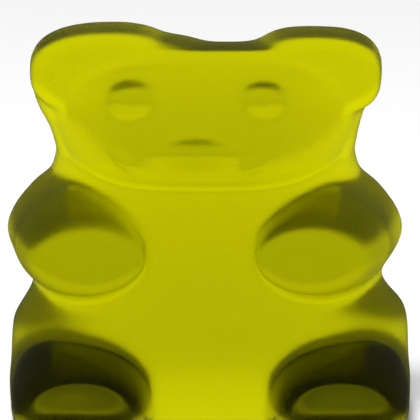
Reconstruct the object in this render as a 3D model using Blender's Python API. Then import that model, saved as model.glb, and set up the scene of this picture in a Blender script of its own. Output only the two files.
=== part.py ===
"""A gummy bear: one cast piece of clear yellow-green jelly, flat along its back.

The bear sits upright, faces -Y and rests on the flat under its legs and seat.
Like a sweet cast in a starch tray, everything grows forward out of one flat
back. The trunk, head and face are stacked cross sections. The muzzle, ears,
eyes, arms and legs are drafted pegs. All of them are fused into a single skin.
Sizes are written in millimetres and turned into metres at the end.
"""
import math

import bmesh
import bpy
import numpy as np

# ---- the two flats, mm -----------------------------------------------------
BACK_Y = 5.6            # the flat back stands this far behind the middle
SPARE = 0.8             # the shells run this far past each flat, to be cut off
MM = 0.001

# ---- how finely the shells are drawn ---------------------------------------
OUTLINE_SIDES = 96      # points round each outline
PEG_STEPS = 20          # outlines along a peg
SECTION_STEPS = 7       # outlines from one station to the next

# ---- how the shells are fused into one skin --------------------------------
FUSE_GRID = 0.22        # grid of the fused skin, mm
SOFTEN_PASSES = 6       # rounds the creases to about a quarter of a millimetre
LIMB_PASSES = 6         # further passes for the limbs and the crown
FACE_BUDGET = 9400      # triangles kept
FLAT_SLACK = 0.01       # how far thinning may lift a point off a flat, mm

# ---- stacked sections: height, left edge, right edge, depth from the back ---
# the limbs below the chin and the crown above the brow have the softest edges
CHIN_Z = 11.4
BROW_Z = 17.8

TRUNK = (
    (-0.8, -9.9, 9.9, 5.2),
    (0.0, -10.1, 10.1, 6.2),
    (0.8, -10.15, 10.15, 7.0),
    (2.2, -10.15, 10.15, 7.8),
    (3.6, -10.1, 10.1, 8.2),
    (4.7, -10.0, 10.05, 8.3),
    (5.5, -9.55, 9.75, 8.3),
    (6.7, -8.9, 8.75, 8.3),
    (8.4, -8.6, 8.5, 8.1),
    (10.4, -8.5, 8.2, 7.6),
    (12.2, -8.05, 7.6, 7.0),
    (13.4, -7.75, 7.3, 6.6),
    (14.5, -7.6, 7.2, 6.0),
)
HEAD_PLATE = (
    (12.6, -7.3, 7.0, 5.2),
    (13.4, -7.8, 7.35, 5.8),
    (14.4, -8.1, 7.55, 6.0),
    (15.6, -8.75, 7.9, 5.9),
    (16.8, -9.0, 8.2, 5.6),
    (17.8, -8.4, 8.1, 5.8),
    (18.4, -6.5, 6.5, 6.2),
    (18.62, -4.5, 4.5, 6.2),
)
FACE = (
    (11.75, -5.2, 4.6, 6.9),
    (12.2, -6.5, 5.9, 8.0),
    (13.0, -7.3, 6.8, 8.4),
    (14.2, -7.9, 7.4, 8.45),
    (15.6, -8.4, 7.8, 8.2),
    (16.7, -8.3, 7.8, 7.7),
    (17.6, -7.2, 6.8, 7.0),
    (18.3, -5.0, 4.9, 6.2),
)
# how square each stack's sections are: across the sides, and into the depth
SQUARENESS = {"trunk": (3.4, 2.2), "head_plate": (4.5, 3.5), "face": (3.0, 2.7)}

# ---- pegs: (x, z, half width, half height) at the root and at the tip ------
# then the depths of root and tip from the back, how square the tip's edge is,
# how late the peg narrows, how square its outline is at root and tip, and how
# far the outline leans
PEGS = {
    "muzzle": ((-0.65, 13.35, 4.8, 2.3), (-0.65, 13.7, 3.0, 1.1), 5.0, 9.35, 2.1, 1.0, 2.0, 2.0, 0.0),
    "lip_left": ((-4.2, 13.1, 1.2, 0.6), (-4.2, 13.1, 0.8, 0.3), 6.0, 8.45, 3.0, 1.0, 2.0, 2.0, -0.5),
    "lip_right": ((2.1, 12.9, 1.2, 0.6), (2.1, 12.9, 0.8, 0.3), 6.0, 8.75, 3.0, 1.0, 2.0, 2.0, 0.45),
    "ear_left": ((-5.35, 17.45, 3.8, 2.2), (-5.4, 17.4, 3.6, 2.05), 0.0, 5.8, 12.0, 1.0, 2.5, 2.5, 0.03),
    "ear_right": ((5.4, 17.3, 3.35, 2.15), (5.4, 17.25, 3.15, 2.0), 0.0, 5.7, 12.0, 1.0, 2.7, 2.7, -0.02),
    "crown_left": ((-3.2, 17.5, 4.2, 1.65), (-3.2, 17.45, 4.0, 1.5), 0.0, 5.8, 12.0, 1.0, 2.0, 2.0, 0.0),
    "crown_right": ((3.6, 17.4, 3.4, 1.45), (3.6, 17.35, 3.2, 1.3), 0.0, 5.7, 12.0, 1.0, 2.0, 2.0, 0.0),
    "eye_left": ((-3.83, 16.25, 1.5, 1.0), (-3.83, 16.2, 1.3, 0.86), 6.0, 8.45, 3.6, 1.0, 2.0, 2.0, 0.0),
    "eye_right": ((2.58, 16.25, 1.5, 1.0), (2.58, 16.2, 1.3, 0.86), 6.0, 8.45, 3.6, 1.0, 2.0, 2.0, 0.0),
    "arm_left": ((-6.9, 9.2, 3.5, 3.5), (-5.95, 8.5, 3.0, 1.75), 0.0, 10.4, 12.0, 1.8, 1.55, 2.0, 0.0),
    "arm_right": ((6.4, 9.2, 3.5, 3.5), (4.85, 8.55, 2.95, 1.75), 0.0, 10.4, 12.0, 1.8, 1.55, 2.0, 0.0),
    "leg_left": ((-6.3, 1.3, 3.95, 4.5), (-6.45, 0.95, 3.2, 1.95), 0.0, 11.2, 12.0, 1.5, 2.2, 2.2, 0.0),
    "leg_right": ((6.3, 1.3, 3.95, 4.5), (6.5, 0.95, 3.2, 1.95), 0.0, 11.2, 12.0, 1.5, 2.2, 2.2, 0.0),
}

# ---- colour of the jelly ---------------------------------------------------
JELLY_COLOUR = (0.42, 0.42, 0.004, 1.0)
JELLY_ROUGHNESS = 0.12


def signed_power(value, exponent):
    """A power that keeps the sign, for superelliptic outlines."""
    return math.copysign(abs(value) ** exponent, value)


def extrude_through(mesh, outlines):
    """Extrude a disc through a row of outlines into one closed shell.

    Each outline gives the place of a point from its turn round the disc.
    """
    turn = mesh.verts.layers.float["turn"]
    disc = bmesh.ops.create_circle(mesh, cap_ends=True, segments=OUTLINE_SIDES, radius=1.0)
    for v in disc["verts"]:
        v[turn] = math.atan2(v.co.y, v.co.x)
    cap = disc["verts"][0].link_faces[0]
    for step, outline in enumerate(outlines):
        if step > 0:
            grown = bmesh.ops.extrude_face_region(mesh, geom=[cap], use_keep_orig=step == 1)
            cap = next(g for g in grown["geom"] if isinstance(g, bmesh.types.BMFace))
        for v in cap.verts:
            v.co = outline(v[turn])


def add_peg(mesh, root, tip, depth_root, depth_tip, edge, late, square_root, square_tip, lean):
    """A rounded peg growing forward, its outline passing from root to tip.

    One more outline behind the root makes a straight stub past the flat back.
    """
    def peg_outline(step):
        angle = max(step, 0) / PEG_STEPS * math.pi / 2
        along = math.sin(angle) ** (2 / edge)
        shrink = math.cos(angle) ** (2 / edge)
        toward = along ** late
        x, z, half_w, half_h = (a + (b - a) * toward for a, b in zip(root, tip))
        exponent = 2 / (square_root + (square_tip - square_root) * toward)
        y = BACK_Y - depth_root - (depth_tip - depth_root) * along
        if step < 0:
            y += SPARE

        def place(turn):
            dx = half_w * shrink * signed_power(math.cos(turn), exponent)
            dz = half_h * shrink * signed_power(math.sin(turn), exponent)
            return x + dx, y, z + dz + lean * dx
        return place

    extrude_through(mesh, [peg_outline(step) for step in range(-1, PEG_STEPS)])


def eased(stations):
    """Pass a smooth curve through the stations and sample it evenly."""
    points = [np.array(s, float) for s in (stations[0],) + stations + (stations[-1],)]
    rows = []
    for p0, p1, p2, p3 in zip(points, points[1:], points[2:], points[3:]):
        for k in range(SECTION_STEPS):
            t = k / SECTION_STEPS
            bend = (2 * p0 - 5 * p1 + 4 * p2 - p3) * t * t + (3 * p1 - p0 - 3 * p2 + p3) * t ** 3
            rows.append(0.5 * (2 * p1 + (p2 - p0) * t + bend))
    rows.append(points[-1])
    return rows


def add_sections(mesh, stations, across, into):
    """Stack sections upwards: square behind, a superellipse bulging forward."""
    def section_outline(z, left, right, depth):
        middle = (left + right) / 2
        half = (right - left) / 2

        def place(turn):
            x = middle + half * signed_power(math.cos(turn), 2 / across)
            if math.sin(turn) > 0.01:
                y = BACK_Y + SPARE
            else:
                y = BACK_Y - depth * abs(math.sin(turn)) ** (2 / into)
            return x, y, z
        return place

    extrude_through(mesh, [section_outline(*row) for row in eased(stations)])


def slice_flat(mesh, point, outward):
    """Cut off what lies beyond a plane and close the cut with a flat face."""
    everything = list(mesh.verts) + list(mesh.edges) + list(mesh.faces)
    cut = bmesh.ops.bisect_plane(mesh, geom=everything, plane_co=point,
                                 plane_no=outward, clear_outer=True, dist=1e-6)
    rim = [e for e in cut["geom_cut"] if isinstance(e, bmesh.types.BMEdge)]
    bmesh.ops.holes_fill(mesh, edges=rim, sides=0)


def applied(obj):
    """Apply the object's modifiers to its mesh."""
    graph = bpy.context.evaluated_depsgraph_get()
    result = bpy.data.meshes.new_from_object(obj.evaluated_get(graph))
    obj.modifiers.clear()
    obj.data = result
    return result


def soften(mesh, points, passes):
    """Relax some points of the skin, which rounds its creases and edges."""
    for _ in range(passes):
        bmesh.ops.smooth_vert(mesh, verts=points, factor=0.5,
                              use_axis_x=True, use_axis_y=True, use_axis_z=True)


def fuse(obj):
    """Turn the overlapping shells into one closed skin on an even grid."""
    remesh = obj.modifiers.new("fuse", "REMESH")
    remesh.mode = "VOXEL"
    remesh.voxel_size = FUSE_GRID
    remesh.adaptivity = 0.0
    return applied(obj)


def thin_out(obj):
    """Drop the flattest faces until the triangle budget is met."""
    count = sum(len(p.vertices) - 2 for p in obj.data.polygons)
    decimate = obj.modifiers.new("thin", "DECIMATE")
    decimate.decimate_type = "COLLAPSE"
    decimate.ratio = min(1.0, FACE_BUDGET / count)
    decimate.use_collapse_triangulate = True
    return applied(obj)


def soften_and_flatten(mesh):
    """Round every crease of the fused skin, then cut the base and the back flat."""
    soften(mesh, mesh.verts, SOFTEN_PASSES)
    soften(mesh, [v for v in mesh.verts if not CHIN_Z < v.co.z < BROW_Z], LIMB_PASSES)
    slice_flat(mesh, (0, 0, 0), (0, 0, -1))
    slice_flat(mesh, (0, BACK_Y, 0), (0, 1, 0))


def settle_on_flats(mesh):
    """Put the points of the back and of the underside exactly on their planes."""
    for v in mesh.verts:
        if abs(v.co.z) < FLAT_SLACK:
            v.co.z = 0.0
        if abs(v.co.y - BACK_Y) < FLAT_SLACK:
            v.co.y = BACK_Y


def jelly_material():
    material = bpy.data.materials.new("jelly")
    material.use_nodes = True
    shader = material.node_tree.nodes["Principled BSDF"]
    shader.inputs["Base Color"].default_value = JELLY_COLOUR
    shader.inputs["Roughness"].default_value = JELLY_ROUGHNESS
    material.diffuse_color = JELLY_COLOUR
    return material


def bear_shells():
    """The overlapping closed shells of the trunk, head, face and pegs."""
    mesh = bmesh.new()
    mesh.verts.layers.float.new("turn")
    add_sections(mesh, TRUNK, *SQUARENESS["trunk"])
    add_sections(mesh, HEAD_PLATE, *SQUARENESS["head_plate"])
    add_sections(mesh, FACE, *SQUARENESS["face"])
    for peg in PEGS.values():
        add_peg(mesh, *peg)
    bmesh.ops.recalc_face_normals(mesh, faces=mesh.faces)
    return mesh


def build_bear():
    shells = bear_shells()
    data = bpy.data.meshes.new("gummy_bear")
    shells.to_mesh(data)
    shells.free()
    bear = bpy.data.objects.new("gummy_bear", data)
    bpy.context.scene.collection.objects.link(bear)

    skin = bmesh.new()
    skin.from_mesh(fuse(bear))
    soften_and_flatten(skin)
    skin.to_mesh(bear.data)
    skin.free()

    skin = bmesh.new()
    skin.from_mesh(thin_out(bear))
    settle_on_flats(skin)
    bmesh.ops.dissolve_degenerate(skin, dist=1e-5, edges=skin.edges)
    bmesh.ops.triangulate(skin, faces=skin.faces)
    bmesh.ops.scale(skin, vec=(MM, MM, MM), verts=skin.verts)
    bmesh.ops.recalc_face_normals(skin, faces=skin.faces)
    skin.to_mesh(bear.data)
    skin.free()
    bear.data.materials.clear()
    bear.data.materials.append(jelly_material())
    bear.data.shade_smooth()
    return bear


for old in list(bpy.data.objects):
    bpy.data.objects.remove(old)
build_bear()
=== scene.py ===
"""A clear gummy bear on a plain pale table: the fine skin, the jelly and the light.

The bear is one casting. Its trunk, head and face are stacks of sections, and
its muzzle, ears, eyes, arms and legs are pegs that grow forward from the flat
back. They are fused on a fine grid and their creases are rounded off.
"""
import math

import bmesh
import bpy
import numpy as np
from bpy.props import FloatProperty, FloatVectorProperty, IntProperty, PointerProperty
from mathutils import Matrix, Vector


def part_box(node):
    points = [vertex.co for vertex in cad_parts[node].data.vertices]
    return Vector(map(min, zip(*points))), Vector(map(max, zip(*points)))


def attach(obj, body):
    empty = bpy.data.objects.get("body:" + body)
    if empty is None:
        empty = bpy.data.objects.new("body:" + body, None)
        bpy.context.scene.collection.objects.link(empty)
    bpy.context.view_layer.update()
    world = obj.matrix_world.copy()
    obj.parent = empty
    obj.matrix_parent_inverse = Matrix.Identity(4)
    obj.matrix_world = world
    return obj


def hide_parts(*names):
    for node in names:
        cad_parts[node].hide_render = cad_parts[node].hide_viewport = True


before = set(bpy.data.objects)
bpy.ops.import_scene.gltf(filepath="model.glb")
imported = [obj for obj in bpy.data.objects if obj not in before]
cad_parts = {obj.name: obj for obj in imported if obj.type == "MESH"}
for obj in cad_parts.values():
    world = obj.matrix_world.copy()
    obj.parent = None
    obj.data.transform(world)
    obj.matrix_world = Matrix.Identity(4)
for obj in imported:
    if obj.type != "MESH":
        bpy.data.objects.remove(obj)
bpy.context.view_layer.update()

bl_info = {
    "name": "Gummy Bear",
    "version": (1, 0, 0),
    "blender": (4, 5, 0),
    "location": "3D View > Sidebar > Gummy Bear",
    "description": "Casts a clear jelly bear and sets it on a lit table",
    "category": "Add Mesh",
}

MM = 0.001
NODE = "gummy_bear"
LOW, HIGH = (Vector(corner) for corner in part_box(NODE))
BACK_Y = HIGH.y / MM            # the flat back, mm
PEG_STEPS = 28                  # outlines along a peg
SECTION_STEPS = 9               # outlines from one station to the next
CUT_SLACK = 1e-6                # how near the table a point counts as on it, mm

# ---- the skin of the jelly
RIPPLE_SCALE = 320.0            # ripples per metre
HAZE_SCALE = 900.0              # patches of haze per metre
HAZE_SPREAD = 0.08              # how much the haze varies the roughness
BACK_FADE = (0.3 * MM, 0.1 * MM)    # the back's dullness starts and is full this far off it
JELLY_IOR = 1.45

# ---- the stage
KEY_PLACE = (-0.25, -1.2, 1.5)  # the key lamp: in front, above, a little to the left

# ---- heights, mm: the limbs below the chin and the crown above the brow have
# the softest edges
CHIN_Z = 11.4
BROW_Z = 17.8

# ---- stacked sections, mm: height, left edge, right edge, depth from the back
TRUNK = (
    (-0.8, -9.9, 9.9, 5.2),
    (0.0, -10.1, 10.1, 6.2),
    (0.8, -10.15, 10.15, 7.0),
    (2.2, -10.15, 10.15, 7.8),
    (3.6, -10.1, 10.1, 8.2),
    (4.7, -10.0, 10.05, 8.3),
    (5.5, -9.55, 9.75, 8.3),
    (6.7, -8.9, 8.75, 8.3),
    (8.4, -8.6, 8.5, 8.1),
    (10.4, -8.5, 8.2, 7.6),
    (12.2, -8.05, 7.6, 7.0),
    (13.4, -7.75, 7.3, 6.6),
    (14.5, -7.6, 7.2, 6.0),
)
HEAD_PLATE = (
    (12.6, -7.3, 7.0, 5.2),
    (13.4, -7.8, 7.35, 5.8),
    (14.4, -8.1, 7.55, 6.0),
    (15.6, -8.75, 7.9, 5.9),
    (16.8, -9.0, 8.2, 5.6),
    (17.8, -8.4, 8.1, 5.8),
    (18.4, -6.5, 6.5, 6.2),
    (18.62, -4.5, 4.5, 6.2),
)
FACE = (
    (11.75, -5.2, 4.6, 6.9),
    (12.2, -6.5, 5.9, 8.0),
    (13.0, -7.3, 6.8, 8.4),
    (14.2, -7.9, 7.4, 8.45),
    (15.6, -8.4, 7.8, 8.2),
    (16.7, -8.3, 7.8, 7.7),
    (17.6, -7.2, 6.8, 7.0),
    (18.3, -5.0, 4.9, 6.2),
)
# how square each stack's sections are: across the sides, and into the depth
SQUARENESS = {"trunk": (3.4, 2.2), "head_plate": (4.5, 3.5), "face": (3.0, 2.7)}

# ---- pegs, mm: (x, z, half width, half height) at the root and at the tip ---
# then the depths of root and tip from the back, how square the tip's edge is,
# how late the peg narrows, how square its outline is at root and tip, and how
# far the outline leans
PEGS = {
    "muzzle": ((-0.65, 13.35, 4.8, 2.3), (-0.65, 13.7, 3.0, 1.1), 5.0, 9.35, 2.1, 1.0, 2.0, 2.0, 0.0),
    "lip_left": ((-4.2, 13.1, 1.2, 0.6), (-4.2, 13.1, 0.8, 0.3), 6.0, 8.45, 3.0, 1.0, 2.0, 2.0, -0.5),
    "lip_right": ((2.1, 12.9, 1.2, 0.6), (2.1, 12.9, 0.8, 0.3), 6.0, 8.75, 3.0, 1.0, 2.0, 2.0, 0.45),
    "ear_left": ((-5.35, 17.45, 3.8, 2.2), (-5.4, 17.4, 3.6, 2.05), 0.0, 5.8, 12.0, 1.0, 2.5, 2.5, 0.03),
    "ear_right": ((5.4, 17.3, 3.35, 2.15), (5.4, 17.25, 3.15, 2.0), 0.0, 5.7, 12.0, 1.0, 2.7, 2.7, -0.02),
    "crown_left": ((-3.2, 17.5, 4.2, 1.65), (-3.2, 17.45, 4.0, 1.5), 0.0, 5.8, 12.0, 1.0, 2.0, 2.0, 0.0),
    "crown_right": ((3.6, 17.4, 3.4, 1.45), (3.6, 17.35, 3.2, 1.3), 0.0, 5.7, 12.0, 1.0, 2.0, 2.0, 0.0),
    "eye_left": ((-3.83, 16.25, 1.5, 1.0), (-3.83, 16.2, 1.3, 0.86), 6.0, 8.45, 3.6, 1.0, 2.0, 2.0, 0.0),
    "eye_right": ((2.58, 16.25, 1.5, 1.0), (2.58, 16.2, 1.3, 0.86), 6.0, 8.45, 3.6, 1.0, 2.0, 2.0, 0.0),
    "arm_left": ((-6.9, 9.2, 3.5, 3.5), (-5.95, 8.5, 3.0, 1.75), 0.0, 10.4, 12.0, 1.8, 1.55, 2.0, 0.0),
    "arm_right": ((6.4, 9.2, 3.5, 3.5), (4.85, 8.55, 2.95, 1.75), 0.0, 10.4, 12.0, 1.8, 1.55, 2.0, 0.0),
    "leg_left": ((-6.3, 1.3, 3.95, 4.5), (-6.45, 0.95, 3.2, 1.95), 0.0, 11.2, 12.0, 1.5, 2.2, 2.2, 0.0),
    "leg_right": ((6.3, 1.3, 3.95, 4.5), (6.5, 0.95, 3.2, 1.95), 0.0, 11.2, 12.0, 1.5, 2.2, 2.2, 0.0),
}


# ---------------------------------------------------------------- settings

class CastingSettings(bpy.types.PropertyGroup):
    """Sizes of the casting and the make-up of the jelly."""
    outline_sides: IntProperty(
        name="Outline sides", description="Points round each outline of the shells", default=128, min=24)
    fuse_grid: FloatProperty(
        name="Fuse grid", description="Grid that fuses the shells into one skin",
        default=0.00014, min=0.0001, unit="LENGTH", precision=5)
    soften_passes: IntProperty(
        name="Soften passes", description="Passes that round the creases of the skin", default=9, min=0)
    limb_passes: IntProperty(
        name="Limb passes", description="Further passes for the limbs and the crown", default=14, min=0)
    rim_passes: IntProperty(
        name="Rim passes", description="Passes that round the rim of the flat underside", default=4, min=0)
    clear_tint: FloatVectorProperty(
        name="Clear tint", description="Colour that the jelly lets through",
        default=(0.968, 0.968, 0.0), subtype="COLOR", min=0.0, max=1.0)
    tint_strength: FloatProperty(
        name="Tint strength", description="How fast the jelly takes light away, per metre",
        default=3000.0, min=0.0)
    surface_roughness: FloatProperty(
        name="Surface roughness", description="Roughness of the oiled skin", default=0.2,
        min=0.0, max=1.0, subtype="FACTOR")
    back_roughness: FloatProperty(
        name="Back roughness", description="How much duller the flat back is than the rest",
        default=0.12, min=0.0, max=1.0, subtype="FACTOR")
    ripple: FloatProperty(
        name="Ripple", description="Height of the casting ripples in the skin", default=0.00003,
        min=0.0, unit="LENGTH", precision=6)


class StageSettings(bpy.types.PropertyGroup):
    """The table, the key lamp, the sky and the camera."""
    table_size: FloatProperty(
        name="Table size", description="Half the width of the table", default=0.6, unit="LENGTH")
    table_colour: FloatVectorProperty(
        name="Table colour", description="Colour of the table", default=(0.95, 0.95, 0.95),
        subtype="COLOR", min=0.0, max=1.0)
    table_height: FloatProperty(
        name="Table height", description="Height of the table, just into the sticky underside",
        default=0.00002, unit="LENGTH", precision=6)
    sky_light: FloatProperty(
        name="Sky light", description="Strength of the sky that lights the table", default=0.3)
    back_light: FloatProperty(
        name="Back light", description="Strength of the sky seen through the jelly", default=1.25)
    sky_gloss: FloatProperty(
        name="Sky gloss", description="Strength of the sky that the skin mirrors", default=0.03)
    key_power: FloatProperty(
        name="Key power", description="Power of the key lamp", default=46.0, unit="POWER")
    key_width: FloatProperty(
        name="Key width", description="Width of the key lamp", default=0.7, unit="LENGTH")
    camera_distance: FloatProperty(
        name="Camera distance", description="From the camera to the middle of the bear",
        default=0.3, unit="LENGTH")
    camera_elevation: FloatProperty(
        name="Camera elevation", description="How far the camera looks down",
        default=math.radians(6.0), subtype="ANGLE")
    view_width: FloatProperty(
        name="View width", description="Width that the camera takes in at the bear",
        default=0.021, unit="LENGTH")


# ---------------------------------------------------------------- shader maths

class Wire:
    """A shader value that Python's operators can work on."""

    def __init__(self, tree, socket):
        self.tree = tree
        self.socket = socket

    def node(self, kind, settings=None, inputs=None, output=0):
        """Add any node: its settings first, then the values or links of its sockets."""
        return add_node(self.tree, kind, settings, inputs, output)

    def math(self, operation, first, second):
        return self.node("ShaderNodeMath", {"operation": operation}, {0: first, 1: second})

    def __add__(self, other):
        return self.math("ADD", self, other)

    def __sub__(self, other):
        return self.math("SUBTRACT", self, other)

    def __mul__(self, other):
        return self.math("MULTIPLY", self, other)

    def __rsub__(self, other):
        return self.math("SUBTRACT", other, self)

    __radd__ = __add__
    __rmul__ = __mul__


def add_node(tree, kind, settings=None, inputs=None, output=0):
    node = tree.nodes.new(kind)
    for name, value in (settings or {}).items():
        setattr(node, name, value)
    for key, value in (inputs or {}).items():
        if isinstance(value, Wire):
            tree.links.new(value.socket, node.inputs[key])
        else:
            node.inputs[key].default_value = value
    return Wire(tree, node.outputs[output])


def new_material(name):
    """A material with its node tree, its Principled shader and its output."""
    material = bpy.data.materials.new(name)
    material.use_nodes = True
    tree = material.node_tree
    return material, tree, tree.nodes["Principled BSDF"], tree.nodes["Material Output"]


def set_inputs(node, values):
    for key, value in values.items():
        node.inputs[key].default_value = value


# ---------------------------------------------------------------- modelling

def signed_power(value, exponent):
    """A power that keeps the sign, for superelliptic outlines."""
    return math.copysign(abs(value) ** exponent, value)


def extrude_through(mesh, sides, outlines):
    """Extrude a disc through a row of outlines into one closed shell.

    Each outline gives the place of a point from its turn round the disc.
    """
    turn = mesh.verts.layers.float["turn"]
    disc = bmesh.ops.create_circle(mesh, cap_ends=True, segments=sides, radius=1.0)
    for v in disc["verts"]:
        v[turn] = math.atan2(v.co.y, v.co.x)
    cap = disc["verts"][0].link_faces[0]
    for step, outline in enumerate(outlines):
        if step > 0:
            grown = bmesh.ops.extrude_face_region(mesh, geom=[cap], use_keep_orig=step == 1)
            cap = next(g for g in grown["geom"] if isinstance(g, bmesh.types.BMFace))
        for v in cap.verts:
            v.co = outline(v[turn])


def add_peg(mesh, sides, root, tip, depth_root, depth_tip,
            edge, late, square_root, square_tip, lean):
    """A rounded peg growing forward, its outline passing from root to tip."""
    def peg_outline(step):
        angle = step / PEG_STEPS * math.pi / 2
        along = math.sin(angle) ** (2 / edge)
        shrink = math.cos(angle) ** (2 / edge)
        toward = along ** late
        x, z, half_w, half_h = (a + (b - a) * toward for a, b in zip(root, tip))
        exponent = 2 / (square_root + (square_tip - square_root) * toward)
        y = BACK_Y - depth_root - (depth_tip - depth_root) * along

        def place(turn):
            dx = half_w * shrink * signed_power(math.cos(turn), exponent)
            dz = half_h * shrink * signed_power(math.sin(turn), exponent)
            return x + dx, y, z + dz + lean * dx
        return place

    extrude_through(mesh, sides, [peg_outline(step) for step in range(PEG_STEPS)])


def eased(stations):
    """Pass a smooth curve through the stations and sample it evenly."""
    points = [np.array(s, float) for s in (stations[0],) + stations + (stations[-1],)]
    rows = []
    for p0, p1, p2, p3 in zip(points, points[1:], points[2:], points[3:]):
        for k in range(SECTION_STEPS):
            t = k / SECTION_STEPS
            bend = (2 * p0 - 5 * p1 + 4 * p2 - p3) * t * t + (3 * p1 - p0 - 3 * p2 + p3) * t ** 3
            rows.append(0.5 * (2 * p1 + (p2 - p0) * t + bend))
    rows.append(points[-1])
    return rows


def add_sections(mesh, sides, stations, across, into):
    """Stack sections upwards: flat behind, a superellipse bulging forward."""
    def section_outline(z, left, right, depth):
        middle = (left + right) / 2
        half = (right - left) / 2

        def place(turn):
            x = middle + half * signed_power(math.cos(turn), 2 / across)
            y = BACK_Y - depth * max(0.0, -math.sin(turn)) ** (2 / into)
            return x, y, z
        return place

    extrude_through(mesh, sides, [section_outline(*row) for row in eased(stations)])


def cut_base(mesh):
    """Cut the skin off at the table and close the cut with a flat face."""
    everything = list(mesh.verts) + list(mesh.edges) + list(mesh.faces)
    cut = bmesh.ops.bisect_plane(mesh, geom=everything, plane_co=(0, 0, 0),
                                 plane_no=(0, 0, -1), clear_outer=True, dist=CUT_SLACK)
    rim = [e for e in cut["geom_cut"] if isinstance(e, bmesh.types.BMEdge)]
    bmesh.ops.holes_fill(mesh, edges=rim, sides=0)


def bear_shells(sides):
    """The overlapping closed shells of the trunk, head, face and pegs, in mm."""
    mesh = bmesh.new()
    mesh.verts.layers.float.new("turn")
    add_sections(mesh, sides, TRUNK, *SQUARENESS["trunk"])
    add_sections(mesh, sides, HEAD_PLATE, *SQUARENESS["head_plate"])
    add_sections(mesh, sides, FACE, *SQUARENESS["face"])
    for peg in PEGS.values():
        add_peg(mesh, sides, *peg)
    bmesh.ops.recalc_face_normals(mesh, faces=mesh.faces)
    return mesh


def fused(obj, grid):
    """Turn the overlapping shells into one closed skin on an even grid."""
    remesh = obj.modifiers.new("fuse", "REMESH")
    remesh.mode = "VOXEL"
    remesh.voxel_size = grid
    remesh.adaptivity = 0.0
    graph = bpy.context.evaluated_depsgraph_get()
    skin = bpy.data.meshes.new_from_object(obj.evaluated_get(graph))
    obj.modifiers.clear()
    obj.data = skin
    return skin


def soften(mesh, points, passes):
    """Relax some points of the skin, which rounds its creases and edges."""
    for _ in range(passes):
        bmesh.ops.smooth_vert(mesh, verts=points, factor=0.5,
                              use_axis_x=True, use_axis_y=True, use_axis_z=True)


def cast_bear(settings):
    """Fuse whole shells, round the creases, cut the underside flat and round its rim."""
    shells = bear_shells(settings.outline_sides)
    data = bpy.data.meshes.new("jelly_bear")
    shells.to_mesh(data)
    shells.free()
    bear = bpy.data.objects.new("jelly_bear", data)
    bpy.context.scene.collection.objects.link(bear)
    mesh = bmesh.new()
    mesh.from_mesh(fused(bear, settings.fuse_grid / MM))
    soften(mesh, mesh.verts, settings.soften_passes)
    soften(mesh, [v for v in mesh.verts if not CHIN_Z < v.co.z < BROW_Z], settings.limb_passes)
    cut_base(mesh)
    mesh.to_mesh(bear.data)
    mesh.clear()
    mesh.from_mesh(fused(bear, settings.fuse_grid / MM))
    soften(mesh, mesh.verts, settings.rim_passes)
    bmesh.ops.scale(mesh, vec=(MM, MM, MM), verts=mesh.verts)
    mesh.to_mesh(bear.data)
    mesh.free()
    bear.data.shade_smooth()
    return bear


# ---------------------------------------------------------------- finishes

def jelly(settings):
    """Clear tinted jelly under an oiled, faintly rippled skin."""
    material, tree, shader, output = new_material("clear_jelly")
    place = add_node(tree, "ShaderNodeTexCoord", output=3)
    ripples = add_node(tree, "ShaderNodeTexNoise", {"noise_dimensions": "3D"},
                       {"Vector": place, "Scale": RIPPLE_SCALE, "Detail": 2.0, "Roughness": 0.5})
    haze = add_node(tree, "ShaderNodeTexNoise", {"noise_dimensions": "3D"},
                    {"Vector": place, "Scale": HAZE_SCALE, "Detail": 3.0, "Roughness": 0.6})
    y_at = add_node(tree, "ShaderNodeSeparateXYZ", {}, {0: place}, output=1)
    fade_from, fade_to = (HIGH.y - distance for distance in BACK_FADE)
    on_back = add_node(tree, "ShaderNodeMapRange", {}, {
        "Value": y_at, "From Min": fade_from, "From Max": fade_to})
    skin = haze * HAZE_SPREAD + (settings.surface_roughness - HAZE_SPREAD / 2)
    roughness = skin + on_back * settings.back_roughness
    bump = add_node(tree, "ShaderNodeBump", {},
                    {"Height": ripples * (settings.ripple / MM), "Strength": 1.0, "Distance": MM})
    set_inputs(shader, {
        "Base Color": (1.0, 1.0, 1.0, 1.0),
        "IOR": JELLY_IOR,
        "Transmission Weight": 1.0,
    })
    tree.links.new(roughness.socket, shader.inputs["Roughness"])
    tree.links.new(bump.socket, shader.inputs["Normal"])
    tint = tree.nodes.new("ShaderNodeVolumeAbsorption")
    set_inputs(tint, {"Color": (*settings.clear_tint, 1.0), "Density": settings.tint_strength})
    tree.links.new(tint.outputs[0], output.inputs["Volume"])
    return material


def table_finish(settings):
    """A matt, pale table."""
    material, _, shader, _ = new_material("matt_table")
    set_inputs(shader, {
        "Base Color": (*settings.table_colour, 1.0),
        "Roughness": 0.9,
        "Specular IOR Level": 0.1,
    })
    return material


# ---------------------------------------------------------------- stage

def aim(obj, point):
    """Turn a lamp or a camera to face a point."""
    direction = Vector(point) - obj.location
    obj.rotation_euler = direction.to_track_quat("-Z", "Y").to_euler()


def add_table(settings):
    mesh = bmesh.new()
    bmesh.ops.create_grid(mesh, x_segments=1, y_segments=1, size=settings.table_size)
    bmesh.ops.translate(mesh, vec=(0, 0, settings.table_height), verts=mesh.verts)
    data = bpy.data.meshes.new("table")
    mesh.to_mesh(data)
    mesh.free()
    table = bpy.data.objects.new("table", data)
    data.materials.append(table_finish(settings))
    bpy.context.scene.collection.objects.link(table)
    table.visible_glossy = False


def add_softbox(name, place, width, power, target):
    """A square lamp that lights the table but doesn't show in or through the jelly."""
    lamp = bpy.data.lights.new(name, "AREA")
    lamp.size = width
    lamp.energy = power
    obj = bpy.data.objects.new(name, lamp)
    obj.location = place
    obj.visible_glossy = False
    obj.visible_transmission = False
    aim(obj, target)
    bpy.context.scene.collection.objects.link(obj)


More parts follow.
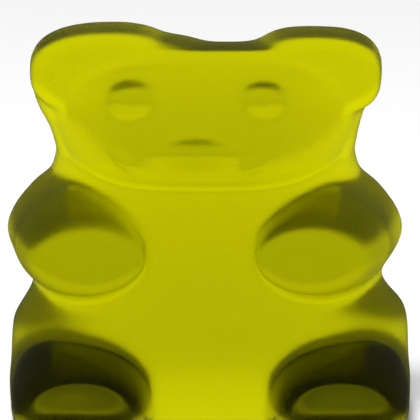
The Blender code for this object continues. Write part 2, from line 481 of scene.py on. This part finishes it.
def add_sky(settings):
    """A white sky to the eye and through the jelly, dim where the skin mirrors it."""
    world = bpy.data.worlds.new("sky")
    bpy.context.scene.world = world
    world.use_nodes = True
    tree = world.node_tree
    tree.nodes.clear()
    path = tree.nodes.new("ShaderNodeLightPath")
    seen = Wire(tree, path.outputs["Is Camera Ray"])
    mirrored = Wire(tree, path.outputs["Is Glossy Ray"])
    depth = Wire(tree, path.outputs["Diffuse Depth"])
    scattered = depth.math("MINIMUM", depth, 1)
    through = Wire(tree, path.outputs["Is Transmission Ray"]) * (1 - scattered)
    lighting = mirrored * settings.sky_gloss + (1 - mirrored) * settings.sky_light
    background = add_node(tree, "ShaderNodeBackground", {}, {
        "Color": (1, 1, 1, 1),
        "Strength": seen + through * settings.back_light + (1 - seen - through) * lighting})
    end = tree.nodes.new("ShaderNodeOutputWorld")
    tree.links.new(background.socket, end.inputs["Surface"])


def add_camera(settings):
    camera = bpy.data.cameras.new("camera")
    camera.sensor_width = 36.0
    camera.lens = camera.sensor_width * settings.camera_distance / settings.view_width
    camera.clip_start = 0.001
    camera.clip_end = 10.0
    obj = bpy.data.objects.new("camera", camera)
    elevation = settings.camera_elevation
    middle = Vector((0.0, 0.0, settings.view_width / 2 / math.cos(elevation)))
    out = Vector((0.0, -math.cos(elevation), math.sin(elevation)))
    obj.location = middle + out * settings.camera_distance
    aim(obj, middle)
    bpy.context.scene.collection.objects.link(obj)
    bpy.context.scene.camera = obj


# ---------------------------------------------------------------- operators

class GUMMY_OT_cast_bear(bpy.types.Operator):
    """Cast the jelly bear in place of its plain solid"""
    bl_idname = "gummy.cast_bear"
    bl_label = "Cast Bear"

    def execute(self, context):
        settings = context.scene.gummy_casting
        bear = cast_bear(settings)
        bear.data.materials.clear()
        bear.data.materials.append(jelly(settings))
        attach(bear, "root")
        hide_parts(NODE)
        return {"FINISHED"}


class GUMMY_OT_set_stage(bpy.types.Operator):
    """Set the table, the key lamp, the sky and the camera"""
    bl_idname = "gummy.set_stage"
    bl_label = "Set Stage"

    def execute(self, context):
        settings = context.scene.gummy_stage
        middle = (0.0, 0.0, HIGH.z / 2)
        add_table(settings)
        add_softbox("key", KEY_PLACE, settings.key_width, settings.key_power, middle)
        add_sky(settings)
        add_camera(settings)
        scene = context.scene
        scene.view_settings.view_transform = "Standard"
        scene.cycles.max_bounces = 24
        scene.cycles.transmission_bounces = 16
        return {"FINISHED"}


class GUMMY_PT_panel(bpy.types.Panel):
    """Lists the steps and their settings"""
    bl_label = "Gummy Bear"
    bl_space_type = "VIEW_3D"
    bl_region_type = "UI"
    bl_category = "Gummy Bear"

    def draw(self, context):
        for operator, settings in (
                (GUMMY_OT_cast_bear, context.scene.gummy_casting),
                (GUMMY_OT_set_stage, context.scene.gummy_stage)):
            box = self.layout.box()
            box.operator(operator.bl_idname)
            for name in settings.__annotations__:
                box.prop(settings, name)


CLASSES = (CastingSettings, StageSettings, GUMMY_OT_cast_bear, GUMMY_OT_set_stage, GUMMY_PT_panel)


def register():
    for cls in CLASSES:
        bpy.utils.register_class(cls)
    bpy.types.Scene.gummy_casting = PointerProperty(type=CastingSettings)
    bpy.types.Scene.gummy_stage = PointerProperty(type=StageSettings)


def unregister():
    del bpy.types.Scene.gummy_stage
    del bpy.types.Scene.gummy_casting
    for cls in reversed(CLASSES):
        bpy.utils.unregister_class(cls)


def main():
    register()
    bpy.ops.gummy.cast_bear()
    bpy.ops.gummy.set_stage()


if __name__ == "__main__":
    main()
